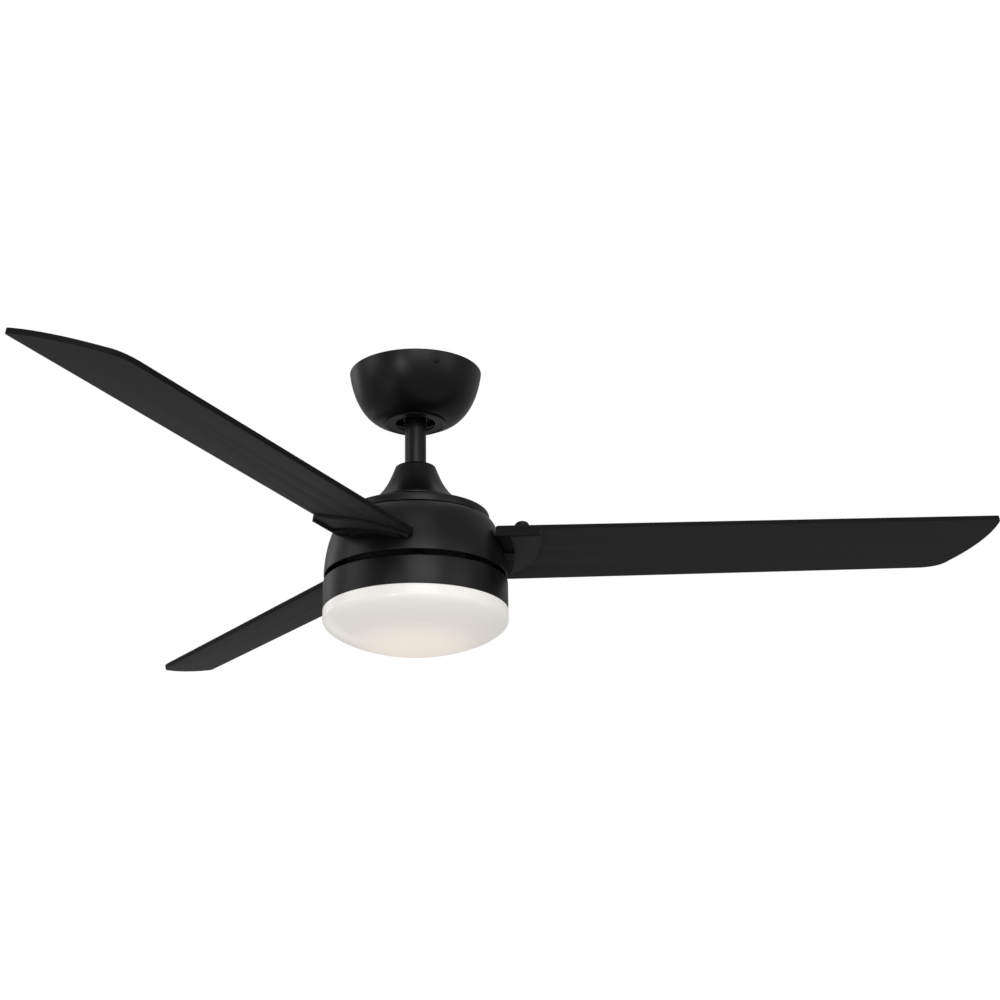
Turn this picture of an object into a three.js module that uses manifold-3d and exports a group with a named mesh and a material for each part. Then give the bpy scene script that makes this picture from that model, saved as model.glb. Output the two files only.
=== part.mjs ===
// Three-blade ceiling fan with a light, 56 inch sweep, short downrod.
// Millimetres, +Z up. The origin is the centre of the hanger bracket's top face, on the
// ceiling, so everything lies below z = 0. Blade 1 points along +X.
import * as THREE from "three";
import { mergeVertices } from "three/addons/utils/BufferGeometryUtils.js";
import Module from "manifold-3d";

// ---- driving dimensions -------------------------------------------------------------
const SWEEP_RADIUS = 711;
const BLADE_COUNT = 3;
const BLADE_PLANE_Z = -240;
const BLADE_PITCH = THREE.MathUtils.degToRad(14);
const BLADE_CONING = THREE.MathUtils.degToRad(1.4);
const BLADE_THICKNESS = 6;
const LEADING_ROOT = 53.8;
const LEADING_TIP = 51;
const TRAILING_ROOT = -60;
const TRAILING_TIP = -56;
const BLADE_ROOT_RADIUS = 98;

const CANOPY_RIM = [83.2, -1.2];
const CANOPY_LIP = [39.5, -67];
const CANOPY_HOLE_RADIUS = 25;
const ROD_RADIUS = 13.35;
const ROD_TOP = -28;
const ROD_BOTTOM = -157;
const BALL_CENTRE = -46;
const BALL_RADIUS = 22.5;

const NECK_TOP = -127.6;
const CAP_TOP_EDGE = -192.5;
const CAP_BOTTOM = -202;
const CAP_RADIUS = 91.6;
const DOME_TOP = -204;
const DOME_BOTTOM = -271.2;
const DOME_TOP_RADIUS = 94.8;
const DOME_RADIUS = 112.6;
const RING_TOP = -278.1;
const RING_BOTTOM = -313.6;
const RING_RADIUS = 113.3;
const GLASS_RADIUS = 113.4;
const GLASS_BOTTOM = -365.5;

const SHEET = 1.8;
const SHAFT_RADIUS = 10;
const SHAFT_BORE = 6.5;
const GAP = 0.35;

const ROUND_LARGE = 28;
const ROUND_MEDIUM = 16;
const ROUND_SMALL = 8;

// ---- materials ----------------------------------------------------------------------
function finish(color, roughness, metalness) {
  return new THREE.MeshStandardMaterial({ color, roughness, metalness });
}

const HOUSING_BLACK = finish(0x1b1b1c, 0.5, 0.35);
const BLADE_BLACK = finish(0x262527, 0.75, 0);
const BARE_STEEL = finish(0x9a9da0, 0.4, 0.9);
const CORE_STEEL = finish(0x5b5e63, 0.5, 0.8);
const COPPER = finish(0xb4703a, 0.4, 0.8);
const MAGNET_GREY = finish(0x3a3a3e, 0.6, 0.3);
const WHITE_PLASTIC = finish(0xe9e9e6, 0.6, 0);
const WIRE_BLACK = finish(0x151515, 0.6, 0);
const NUT_ORANGE = finish(0xc8692a, 0.6, 0);
const OPAL_GLASS = finish(0xf1eee8, 0.35, 0);
const LED_WHITE = finish(0xf6f2e2, 0.5, 0);

// ---- solid modelling helpers ---------------------------------------------------------
const wasm = await Module();
wasm.setup();

function toManifold(geometry) {
  const bare = geometry.clone();
  bare.deleteAttribute("normal");
  bare.deleteAttribute("uv");
  const merged = mergeVertices(bare, 1e-4);
  const index = merged.index.array;
  const kept = [];
  for (let i = 0; i < index.length; i += 3) {
    const [a, b, c] = [index[i], index[i + 1], index[i + 2]];
    if (a !== b && b !== c && c !== a) kept.push(a, b, c);
  }
  return new wasm.Manifold(new wasm.Mesh({
    numProp: 3,
    vertProperties: new Float32Array(merged.attributes.position.array),
    triVerts: new Uint32Array(kept),
  }));
}

function toGeometry(manifold) {
  const mesh = manifold.getMesh();
  const geometry = new THREE.BufferGeometry();
  geometry.setAttribute("position", new THREE.BufferAttribute(mesh.vertProperties, 3));
  geometry.setIndex(new THREE.BufferAttribute(mesh.triVerts, 1));
  geometry.computeVertexNormals();
  return geometry;
}

function cut(body, ...tools) {
  let result = toManifold(body);
  for (const tool of tools) result = result.subtract(toManifold(tool));
  return toGeometry(result);
}

function join(...bodies) {
  let result = toManifold(bodies[0]);
  for (const body of bodies.slice(1)) result = result.add(toManifold(body));
  return toGeometry(result);
}

// A closed (radius, z) outline turned about the Z axis, with its faces pointing out.
function turned(outline, segments = ROUND_LARGE) {
  let doubleArea = 0;
  outline.forEach(([r, z], i) => {
    const [nextR, nextZ] = outline[(i + 1) % outline.length];
    doubleArea += r * nextZ - nextR * z;
  });
  const ordered = doubleArea > 0 ? outline : [...outline].reverse();
  const startsOnAxis = ordered.findIndex(([r], i) => {
    return r === 0 && ordered[(i + ordered.length - 1) % ordered.length][0] === 0;
  });
  const first = Math.max(startsOnAxis, 0);
  const loop = [...ordered.slice(first), ...ordered.slice(0, first)];
  const points = loop.map(([r, z]) => new THREE.Vector2(r, z));
  if (startsOnAxis < 0) points.push(points[0].clone());
  return new THREE.LatheGeometry(points, segments).rotateX(Math.PI / 2);
}

function ring(inner, outer, low, high, segments = ROUND_MEDIUM) {
  return turned([[inner, low], [outer, low], [outer, high], [inner, high]], segments);
}

function disc(radius, low, high, segments = ROUND_SMALL) {
  return turned([[0, low], [radius, low], [radius, high], [0, high]], segments);
}

function box(x, y, z, width, depth, height) {
  return new THREE.BoxGeometry(width, depth, height).translate(x, y, z);
}

// A round pin of the given length, centred on the origin, along X.
function crossPin(radius, length, segments = ROUND_SMALL) {
  return disc(radius, -length / 2, length / 2, segments).rotateY(Math.PI / 2);
}

function curvePoints(start, control1, control2, end, divisions) {
  const vectors = [start, control1, control2, end].map(([r, z]) => new THREE.Vector2(r, z));
  const curve = new THREE.CubicBezierCurve(...vectors);
  return curve.getPoints(divisions).map((p) => [p.x, p.y]);
}

// Moves an open (radius, z) outline sideways by a wall thickness, towards the axis side.
function offsetInward(points, thickness) {
  return points.map(([r, z], i) => {
    const before = points[Math.max(i - 1, 0)];
    const after = points[Math.min(i + 1, points.length - 1)];
    const run = Math.hypot(after[0] - before[0], after[1] - before[1]);
    const outR = -(after[1] - before[1]) / run;
    const outZ = (after[0] - before[0]) / run;
    return [r - outR * thickness, z - outZ * thickness];
  });
}

function polar(radius, degrees) {
  const angle = THREE.MathUtils.degToRad(degrees);
  return [radius * Math.cos(angle), radius * Math.sin(angle)];
}

function thirds(callback) {
  return Array.from({ length: BLADE_COUNT }, (_, i) => callback(i));
}

const fan = new THREE.Group();

function place(name, geometry, material, parent = fan) {
  const mesh = new THREE.Mesh(geometry, material);
  mesh.name = name;
  parent.add(mesh);
  return mesh;
}

// ---- ceiling mount --------------------------------------------------------------------
const LEG_X = 31;
const SEAT_TOP = -50;
const SEAT_BOTTOM = -60;
const BRACKET_SCREW_X = 44;

function addHangerBracket() {
  const seatRadius = BALL_RADIUS + 0.5;
  const seat = (z) => Math.sqrt(seatRadius ** 2 - (z - BALL_CENTRE) ** 2);
  const middle = (SEAT_TOP + SEAT_BOTTOM) / 2;
  const socket = turned([
    [seat(SEAT_TOP), SEAT_TOP], [seat(middle), middle], [seat(SEAT_BOTTOM), SEAT_BOTTOM],
    [33, SEAT_BOTTOM], [33, SEAT_TOP],
  ], ROUND_MEDIUM);
  const rodSlot = box(0, 26, middle, 2 * ROD_RADIUS + 2, 52, 20);
  const plate = box(0, 0, -1.2, 108, 40, 2.4);
  const legs = [-1, 1].map((side) => {
    return box(side * LEG_X, 0, SEAT_BOTTOM / 2 - 1, 2.6, 30, -SEAT_BOTTOM - 2);
  });
  const bolts = [-1, 1].map((side) => {
    return disc(2.8, -4, 1).translate(side * BRACKET_SCREW_X, 0, 0);
  });
  const frame = join(plate, ...legs, cut(socket, rodSlot));
  place("hanger_bracket", cut(frame, ...bolts), BARE_STEEL);
}

// A pan-head screw whose head sits below z = 0 of its own frame, its shank going up.
function panScrew(headRadius, headHeight, shankRadius, shankLength) {
  return turned([
    [0, -headHeight], [headRadius * 0.6, -headHeight], [headRadius, -headHeight * 0.4],
    [headRadius, 0], [shankRadius, 0], [shankRadius, shankLength], [0, shankLength],
  ], ROUND_SMALL);
}

function addBracketScrews() {
  [-1, 1].forEach((side, i) => {
    const screw = place(`bracket_screw_${i + 1}`, panScrew(4.6, 2.8, 2.3, 2.2), BARE_STEEL);
    screw.position.set(side * BRACKET_SCREW_X, 0, -2.4 - GAP);
  });
}

const CANOPY_SCREW_ANGLES = [289, 109];
const CANOPY_SCREW_Z = -14;
const CANOPY_WALL_RADIUS = 80.9;
const CANOPY_WALL_LEAN = THREE.MathUtils.degToRad(13.5);

function canopyOutline() {
  return curvePoints(CANOPY_RIM, [79.6, -28.5], [67.2, -60.8], CANOPY_LIP, 6);
}

function addCanopy() {
  const outer = canopyOutline();
  const inner = offsetInward(outer, SHEET).reverse();
  inner[0] = [inner[0][0], CANOPY_LIP[1] + SHEET];
  inner[inner.length - 1] = [CANOPY_RIM[0] - SHEET, CANOPY_RIM[1]];
  const flangeInner = CANOPY_HOLE_RADIUS + 3;
  const shell = turned([
    ...outer, [flangeInner, CANOPY_LIP[1]], [flangeInner, CANOPY_LIP[1] + SHEET], ...inner,
  ]);
  const screwHoles = CANOPY_SCREW_ANGLES.map((angle) => {
    const drill = crossPin(2.4, 24).rotateY(CANOPY_WALL_LEAN);
    drill.translate(CANOPY_WALL_RADIUS, 0, CANOPY_SCREW_Z);
    return drill.rotateZ(THREE.MathUtils.degToRad(angle));
  });
  place("canopy", cut(shell, ...screwHoles), HOUSING_BLACK);

  const top = CANOPY_LIP[1] - GAP;
  place("canopy_ring", turned([
    [CANOPY_HOLE_RADIUS, top], [38.2, top], [38.6, top - 1.2], [37.2, top - 2.2],
    [35.4, top - 1.2], [CANOPY_HOLE_RADIUS + 1, top - 1.2], [CANOPY_HOLE_RADIUS, top - 0.6],
  ], ROUND_LARGE), HOUSING_BLACK);
}

function addCanopyScrews() {
  CANOPY_SCREW_ANGLES.forEach((angle, i) => {
    const geometry = panScrew(3.4, 1.6, 2, 7).rotateY(CANOPY_WALL_LEAN - Math.PI / 2);
    const arm = new THREE.Group();
    arm.rotation.z = THREE.MathUtils.degToRad(angle);
    fan.add(arm);
    const screw = place(`canopy_screw_${i + 1}`, geometry, HOUSING_BLACK, arm);
    screw.position.set(CANOPY_WALL_RADIUS + GAP, 0, CANOPY_SCREW_Z - 0.1);
  });
}

function tube(points, radius, sides, steps) {
  const section = new THREE.Shape();
  for (let i = 0; i < sides; i += 1) {
    const angle = (2 * Math.PI * i) / sides;
    const method = i === 0 ? "moveTo" : "lineTo";
    section[method](radius * Math.cos(angle), radius * Math.sin(angle));
  }
  const extrudePath = new THREE.CatmullRomCurve3(points.map((p) => new THREE.Vector3(...p)));
  return new THREE.ExtrudeGeometry(section, { extrudePath, steps, bevelEnabled: false });
}

function addReceiver() {
  place("receiver_box", box(0, 0, -10.6, 34, 86, 13), WHITE_PLASTIC);
  const leadEnd = [46, 14, -24];
  const route = [[17.5, 20, -10], [24, 20, -10], [36, 18, -13], [44, 15, -20], leadEnd];
  place("supply_lead", tube(route, 1.3, 8, 10), WIRE_BLACK);
  place("wire_nut", turned([
    [0, -20], [3, -20], [5.2, -3], [4.4, 0], [1.9, 0], [1.9, -6], [0, -6],
  ], ROUND_SMALL), NUT_ORANGE).position.set(leadEnd[0], leadEnd[1], leadEnd[2] - 0.5);
}

// ---- hanging body: ball, rod, yoke and covers -------------------------------------------
const PIN_CLEARANCE = 0.35;
const CLEVIS_Z = -145;

function addBallAndRod() {
  const arc = [];
  const highest = Math.asin((ROD_TOP - 1.2 - BALL_CENTRE) / BALL_RADIUS);
  const steps = 7;
  for (let i = 0; i <= steps; i += 1) {
    const angle = -highest + (2 * highest * i) / steps;
    arc.push([BALL_RADIUS * Math.cos(angle), BALL_CENTRE + BALL_RADIUS * Math.sin(angle)]);
  }
  const bore = ROD_RADIUS + GAP;
  const ball = turned([[bore, arc[0][1]], ...arc, [bore, arc[steps][1]]], ROUND_MEDIUM);
  const pinHole = crossPin(3 + PIN_CLEARANCE, 60).translate(0, 0, BALL_CENTRE);
  place("hanger_ball", cut(ball, pinHole), BARE_STEEL);
  const pin = crossPin(3, 2 * BALL_RADIUS - 3);
  place("ball_pin", pin, BARE_STEEL).position.z = BALL_CENTRE;

  const rod = ring(ROD_RADIUS - 2.4, ROD_RADIUS, ROD_BOTTOM, ROD_TOP);
  const clevisHole = crossPin(3.2 + PIN_CLEARANCE, 60).translate(0, 0, CLEVIS_Z);
  place("downrod", cut(rod, pinHole, clevisHole), HOUSING_BLACK);
}

const YOKE_TOP = -134;
const YOKE_BOTTOM = -184;

function addYoke() {
  const collar = turned([
    [ROD_RADIUS + GAP, YOKE_TOP], [18, YOKE_TOP], [18, -170], [32, -176],
    [32, YOKE_BOTTOM], [SHAFT_RADIUS + GAP, YOKE_BOTTOM], [SHAFT_RADIUS + GAP, -160],
    [ROD_RADIUS + GAP, -158],
  ], ROUND_MEDIUM);
  const clevisHole = crossPin(3.2 + PIN_CLEARANCE, 60).translate(0, 0, CLEVIS_Z);
  const setHole = crossPin(2.6, 30).rotateZ(Math.PI / 2).translate(0, 20, CLEVIS_Z - 6);
  place("motor_yoke", cut(collar, clevisHole, setHole), CORE_STEEL);

  place("clevis_pin", crossPin(3.2, 44), BARE_STEEL).position.z = CLEVIS_Z;
  const clip = new THREE.TorusGeometry(4.4, 0.8, 6, ROUND_SMALL);
  place("retaining_clip", clip.rotateY(Math.PI / 2), BARE_STEEL).position.set(20.5, 0, CLEVIS_Z);
  const setScrew = disc(2.2, -3.5, 3.5).rotateX(Math.PI / 2);
  place("yoke_set_screw", setScrew, BARE_STEEL).position.set(0, 17, CLEVIS_Z - 6);
}

function addCoverAndCap() {
  const foot = [56.6, -177.2];
  const flare = curvePoints([25.5, NECK_TOP - 0.8], [32.2, -148.2], [40.6, -164.6], foot, 5);
  const inside = offsetInward(flare, SHEET).reverse();
  const rodHole = ROD_RADIUS + 1;
  place("coupling_cover", turned([
    [rodHole, NECK_TOP], [24.7, NECK_TOP], ...flare, [foot[0], -178.6], ...inside,
    [23, NECK_TOP - SHEET], [rodHole, NECK_TOP - SHEET],
  ]), HOUSING_BLACK);

  const rimTop = -180.2;
  place("motor_cap", turned([
    [36, rimTop], [56, rimTop], [CAP_RADIUS - 2, CAP_TOP_EDGE + 0.6],
    [CAP_RADIUS - 0.4, CAP_TOP_EDGE - 0.4], [CAP_RADIUS, CAP_TOP_EDGE - 2],
    [CAP_RADIUS, CAP_BOTTOM], [CAP_RADIUS - SHEET, CAP_BOTTOM],
    [CAP_RADIUS - SHEET, CAP_TOP_EDGE - 2.4], [56, rimTop - SHEET], [36, rimTop - SHEET],
  ]), HOUSING_BLACK);
}

// ---- motor ------------------------------------------------------------------------------
const SHAFT_TOP = -161;
const SHAFT_BOTTOM = -284;
const ROTOR_TOP = -206.6;
const ROTOR_FLANGE_Z = -240;
const ROTOR_BOTTOM = -245.6;
const BEARING_HEIGHTS = [["upper", -212.4, -206.4], ["lower", -247, -241]];

function addShaftAndStator() {
  place("motor_shaft", ring(SHAFT_BORE, SHAFT_RADIUS, SHAFT_BOTTOM, SHAFT_TOP), BARE_STEEL);

  const teeth = 12;
  const slotWidth = 7;
  const core = ring(SHAFT_RADIUS + GAP, 68, -236, -216, ROUND_LARGE);
  const slots = Array.from({ length: teeth }, (_, i) => {
    return box(54, 0, -226, 34, slotWidth, 30).rotateZ((2 * Math.PI * i) / teeth);
  });
  place("stator_core", cut(core, ...slots), CORE_STEEL);

  const coil = (middle) => turned([
    [40, middle - 1.8], [60, middle - 1.8], [63, middle], [60, middle + 1.8], [40, middle + 1.8],
  ], ROUND_MEDIUM);
  place("winding_upper", coil(-213.6), COPPER);
  place("winding_lower", coil(-238.4), COPPER);

  BEARING_HEIGHTS.forEach(([where, low, high]) => {
    const race = ring(SHAFT_RADIUS + GAP, 13, low, high);
    place(`bearing_inner_${where}`, race, BARE_STEEL);
  });
}

function addRotor() {
  const seat = 18.8;
  place("rotor_upper", turned([
    [seat, ROTOR_TOP], [90, ROTOR_TOP], [90, ROTOR_TOP - 2.4], [80, ROTOR_TOP - 2.4],
    [80, ROTOR_FLANGE_Z + 2.4], [86, ROTOR_FLANGE_Z + 2.4], [86, ROTOR_FLANGE_Z],
    [77.6, ROTOR_FLANGE_Z], [77.6, ROTOR_TOP - 2.4], [21, ROTOR_TOP - 2.4],
    [21, -212.4], [seat, -212.4],
  ]), CORE_STEEL);
  place("rotor_lower", turned([
    [seat, ROTOR_BOTTOM], [86, ROTOR_BOTTOM], [86, ROTOR_FLANGE_Z - GAP],
    [77, ROTOR_FLANGE_Z - GAP], [77, ROTOR_BOTTOM + 2.4], [21, ROTOR_BOTTOM + 2.4],
    [21, -241], [seat, -241],
  ]), CORE_STEEL);
  place("magnet_ring", ring(72, 77.2, -237, -214, ROUND_LARGE), MAGNET_GREY);
  BEARING_HEIGHTS.forEach(([where, low, high]) => {
    place(`bearing_outer_${where}`, ring(15, seat - GAP, low, high), BARE_STEEL);
  });
}

// ---- hub dome and blades ------------------------------------------------------------------
const TAB_TOP = ROTOR_BOTTOM - GAP;
const TAB_THICKNESS = 3.6;
const TAB_WIDTH = 38;
const BRACKET_PLATE = 4;
const BRACKET_DEPTH = 8;
const BRACKET_LIP = 3;
const BRACKET_ROOT = 84;
const BRACKET_END = 151;
const RIB_RADIUS = 122;
const RIB_ANGLES = [-24.5, 22];
const HOLE_BOTTOM = -6.6;
const BLADE_SCREWS = [[130, 43], [137, 6], [117, -31]];

function domeOutline() {
  return curvePoints(
    [DOME_TOP_RADIUS, DOME_TOP], [104.5, -214], [DOME_RADIUS, -245], [DOME_RADIUS, DOME_BOTTOM], 7,
  );
}

function addHubDome() {
  const outer = domeOutline();
  const inner = offsetInward(outer, SHEET).reverse();
  inner[0] = [DOME_RADIUS - SHEET, DOME_BOTTOM];
  const flangeUnderside = DOME_TOP - 2.2;
  const shell = turned([
    [83, DOME_TOP], ...outer, ...inner.slice(0, -1), [91.5, flangeUnderside], [83, flangeUnderside],
  ]);
  const slots = thirds((i) => {
    const slot = box(104, 0, TAB_TOP - TAB_THICKNESS / 2, 30, TAB_WIDTH + 2, TAB_THICKNESS + 2);
    return slot.rotateZ((2 * Math.PI * i) / BLADE_COUNT);
  });
  place("hub_dome", cut(shell, ...slots), HOUSING_BLACK);
}

// Turns chord-frame geometry (x outward, y = minus the chord position) into blade position.
function toBladePlane(geometry) {
  return geometry.rotateX(-BLADE_PITCH).rotateY(-BLADE_CONING).translate(0, 0, BLADE_PLANE_Z);
}

// An extruded chord-frame outline between two heights above the blade's middle plane.
function slab(outline, low, high, divisions = 8) {
  const thickness = high - low;
  const options = { depth: thickness, bevelEnabled: false, curveSegments: divisions };
  return new THREE.ExtrudeGeometry(outline, options).translate(0, 0, low);
}

function bladeOutline() {
  const root = BLADE_ROOT_RADIUS;
  const tip = SWEEP_RADIUS;
  const front = -LEADING_ROOT;
  const back = -TRAILING_ROOT;
  const outline = new THREE.Shape();
  outline.moveTo(root + 3, front);
  outline.lineTo(tip - 6, -LEADING_TIP);
  outline.quadraticCurveTo(tip, -LEADING_TIP, tip - 0.6, -LEADING_TIP + 5);
  outline.bezierCurveTo(tip - 3.5, -19, tip - 19, 12, tip - 45, 41);
  outline.quadraticCurveTo(tip - 54.5, -TRAILING_TIP, tip - 85, -TRAILING_TIP);
  outline.lineTo(root + 14, back);
  outline.quadraticCurveTo(root - 1, back, root, back - 14);
  outline.lineTo(root, front + 3);
  outline.quadraticCurveTo(root, front, root + 3, front);
  return outline;
}

function bracketOutline() {
  const outline = new THREE.Shape();
  outline.moveTo(BRACKET_ROOT, -53.5);
  outline.lineTo(BRACKET_END, -53);
  outline.quadraticCurveTo(153, -53, 153, -51);
  outline.bezierCurveTo(153.5, -6, 150, 32, 100, 52);
  outline.lineTo(BRACKET_ROOT, 54);
  outline.closePath();
  return outline;
}

// The rib under the bracket's root, which follows the dome's round.
function ribOutline() {
  const [start, end] = RIB_ANGLES.map(THREE.MathUtils.degToRad);
  const outline = new THREE.Shape();
  outline.moveTo(BRACKET_ROOT, RIB_RADIUS * Math.sin(start));
  outline.lineTo(RIB_RADIUS * Math.cos(start), RIB_RADIUS * Math.sin(start));
  outline.absarc(0, 0, RIB_RADIUS, start, end, false);
  outline.lineTo(BRACKET_ROOT, RIB_RADIUS * Math.sin(end));
  outline.closePath();
  return outline;
}

function rectangle(left, right, front, back) {
  const outline = new THREE.Shape();
  outline.moveTo(left, front);
  outline.lineTo(right, front);
  outline.lineTo(right, back);
  outline.lineTo(left, back);
  outline.closePath();
  return outline;
}

function bladeScrewTools(radius, from) {
  return BLADE_SCREWS.map(([out, chord]) => disc(radius, from, 30).translate(out, -chord, 0));
}

function addBlades() {
  const half = BLADE_THICKNESS / 2;
  const bracketTop = -half - GAP;
  const clearOfDome = turned([
    [0, DOME_TOP + 5], ...domeOutline().map(([r, z]) => [r + 0.8, z]),
    [DOME_RADIUS + 0.8, DOME_BOTTOM - 5], [0, DOME_BOTTOM - 5],
  ]);
  const drilled = cut(slab(bladeOutline(), -half, half, 6), ...bladeScrewTools(3.3, -30));
  const bladeBody = toBladePlane(drilled);
  const bladeGeometry = cut(bladeBody, clearOfDome);
  const plate = slab(bracketOutline(), bracketTop - BRACKET_PLATE, bracketTop);
  const lipOutline = rectangle(BRACKET_ROOT, BRACKET_END, -53.4, -53.4 + BRACKET_LIP);
  const lip = slab(lipOutline, bracketTop - BRACKET_DEPTH, bracketTop - 0.5);
  const rib = slab(ribOutline(), bracketTop - BRACKET_DEPTH, bracketTop - 0.5, 10);
  const arm = cut(join(plate, lip, rib), ...bladeScrewTools(3.3, HOLE_BOTTOM));
  const armInPlace = cut(toBladePlane(arm), clearOfDome);
  const tabInner = 62;
  const tabOuter = 122;
  const tabMiddle = (tabInner + tabOuter) / 2;
  const tab = box(
    tabMiddle, 0, TAB_TOP - TAB_THICKNESS / 2, tabOuter - tabInner, TAB_WIDTH, TAB_THICKNESS,
  );
  const bracketGeometry = join(armInPlace, tab);

  const top = half + GAP;
  const screwGeometry = turned([
    [0, HOLE_BOTTOM + 0.4], [2.9, HOLE_BOTTOM + 0.4], [2.9, top], [9.5, top],
    [9.5, top + 1.8], [9.1, top + 4.6], [7.6, top + 7.6], [4.2, top + 9.4], [0, top + 9.8],
  ], ROUND_SMALL);

  thirds((i) => {
    const turn = new THREE.Group();
    turn.rotation.z = (2 * Math.PI * i) / BLADE_COUNT;
    fan.add(turn);
    place(`blade_${i + 1}`, bladeGeometry.clone(), BLADE_BLACK, turn);
    place(`blade_bracket_${i + 1}`, bracketGeometry.clone(), HOUSING_BLACK, turn);
    BLADE_SCREWS.forEach(([out, chord], j) => {
      const screw = toBladePlane(screwGeometry.clone().translate(out, -chord, 0));
      place(`blade_screw_${i + 1}_${j + 1}`, screw, HOUSING_BLACK, turn);
    });
  });
}

// ---- light kit ------------------------------------------------------------------------------
const PAN_WALL = 2;
const PAN_SCREW_CIRCLE = 34;
const GLASS_NECK_RADIUS = 108.5;
const GLASS_RIM = -302;
const TAB_LEDGE_TOP = -307.4;
const LUG_BOTTOM = -306.9;
const LUG_RADIUS = 110;
const TRAY_TOP = -296;

function wedgeRing(inner, outer, low, high, fromDegrees, toDegrees) {
  const outline = new THREE.Shape();
  const from = THREE.MathUtils.degToRad(fromDegrees);
  const to = THREE.MathUtils.degToRad(toDegrees);
  outline.absarc(0, 0, outer, from, to, false);
  outline.absarc(0, 0, inner, to, from, true);
  return slab(outline, low, high, 4);
}

function addLightPan() {
  const plateTop = RING_TOP + 3.4;
  place("light_plate", ring(SHAFT_RADIUS + GAP, 46, RING_TOP + GAP, plateTop), CORE_STEEL);
  const hexagon = disc(16, SHAFT_BOTTOM, RING_TOP, 6);
  const thread = disc(SHAFT_RADIUS + GAP, SHAFT_BOTTOM - 1, RING_TOP + 1, ROUND_MEDIUM);
  place("shaft_nut", cut(hexagon, thread), BARE_STEEL);

  const wallInside = RING_RADIUS - PAN_WALL;
  const pan = turned([
    [18, RING_TOP], [RING_RADIUS - 1.2, RING_TOP], [RING_RADIUS - 0.3, RING_TOP - 0.9],
    [RING_RADIUS, RING_TOP - 2.2], [RING_RADIUS, RING_BOTTOM], [wallInside, RING_BOTTOM],
    [wallInside, RING_TOP - PAN_WALL], [18, RING_TOP - PAN_WALL],
  ]);
  const ledges = thirds((i) => {
    const start = 120 * i - 10;
    return wedgeRing(
      GLASS_NECK_RADIUS + 0.6, wallInside + 0.8, TAB_LEDGE_TOP - 2, TAB_LEDGE_TOP, start, start + 28,
    );
  });
  const screwHoles = thirds((i) => {
    const drill = disc(2.4, RING_TOP - 6, RING_TOP + 4);
    return drill.translate(...polar(PAN_SCREW_CIRCLE, 60 + 120 * i), 0);
  });
  place("light_pan", cut(join(pan, ...ledges), ...screwHoles), HOUSING_BLACK);

  thirds((i) => {
    const screw = place(`pan_screw_${i + 1}`, panScrew(4, 2.2, 2, 1.9), BARE_STEEL);
    const [x, y] = polar(PAN_SCREW_CIRCLE, 60 + 120 * i);
    screw.position.set(x, y, RING_TOP - PAN_WALL - 0.2);
  });
}

function addLedParts() {
  place("led_driver", box(0, 62, RING_TOP - PAN_WALL - 8, 66, 34, 14), WHITE_PLASTIC);
  place("led_tray", turned([
    [12, TRAY_TOP], [100, TRAY_TOP], [104, TRAY_TOP + 6], [106, TRAY_TOP + 6],
    [101, TRAY_TOP - 1.5], [12, TRAY_TOP - 1.5],
  ]), WHITE_PLASTIC);
  place("led_board", ring(14, 84, TRAY_TOP - 3.6, TRAY_TOP - 2, ROUND_LARGE), LED_WHITE);
}

function addLead() {
  const route = [[0, 22, -23], [0, 14, -21.5], [0, 8, -25], [0, 6.4, -34], [0, 6.4, -90],
    [0, 6.4, -146], [0, 2.5, -160], [0, 2, -172], [0, 2, -220], [0, 2, -276], [0, 5, -287],
    [0, 14, -289.5], [0, 30, -289.5], [0, 44.4, -289.5]];
  place("lamp_lead", tube(route, 2.2, 8, 30), WIRE_BLACK);
}

function glassOutline() {
  const wall = 2.6;
  const shoulderTop = RING_BOTTOM - 0.5;
  const side = [[GLASS_RADIUS - 0.6, shoulderTop - 0.1], [GLASS_RADIUS, shoulderTop - 1.4]];
  const wallEnd = [GLASS_RADIUS, -326];
  const turnIn = [102.5, -339.3];
  const shoulder = curvePoints(wallEnd, [GLASS_RADIUS, -332], [108, -335.4], turnIn, 3);
  const bowl = curvePoints(turnIn, [93.3, -345.9], [47.3, GLASS_BOTTOM], [0, GLASS_BOTTOM], 6);
  const outer = [...side, ...shoulder, ...bowl.slice(1)];
  const inner = offsetInward(outer.slice(3), wall).reverse();
  inner[0] = [0, GLASS_BOTTOM + wall];
  const neckInside = GLASS_NECK_RADIUS - wall;
  return [
    [neckInside, GLASS_RIM], [GLASS_NECK_RADIUS, GLASS_RIM], [GLASS_NECK_RADIUS, shoulderTop],
    ...outer, ...inner, [neckInside, -322],
  ];
}

function addGlass() {
  const bowl = turned(glassOutline());
  const lugs = thirds((i) => {
    const middle = 120 * i;
    return wedgeRing(GLASS_NECK_RADIUS - 1.5, LUG_RADIUS, LUG_BOTTOM, -303, middle - 5, middle + 5);
  });
  place("glass_bowl", join(bowl, ...lugs), OPAL_GLASS);
}

addHangerBracket();
addBracketScrews();
addCanopy();
addCanopyScrews();
addReceiver();
addBallAndRod();
addYoke();
addCoverAndCap();
addShaftAndStator();
addRotor();
addHubDome();
addBlades();
addLightPan();
addLedParts();
addLead();
addGlass();

export default fan;
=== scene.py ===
"""A three-blade ceiling fan with a light, seen from below on a pale studio background.

Outlines are in millimetres, as (radius, height) pairs below the ceiling at height 0, and
become metres when a mesh is made. Blade 1 points along +X and the camera looks along +Y.
"""

import math

import bmesh
import bpy
from mathutils import Matrix, Vector


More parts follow.
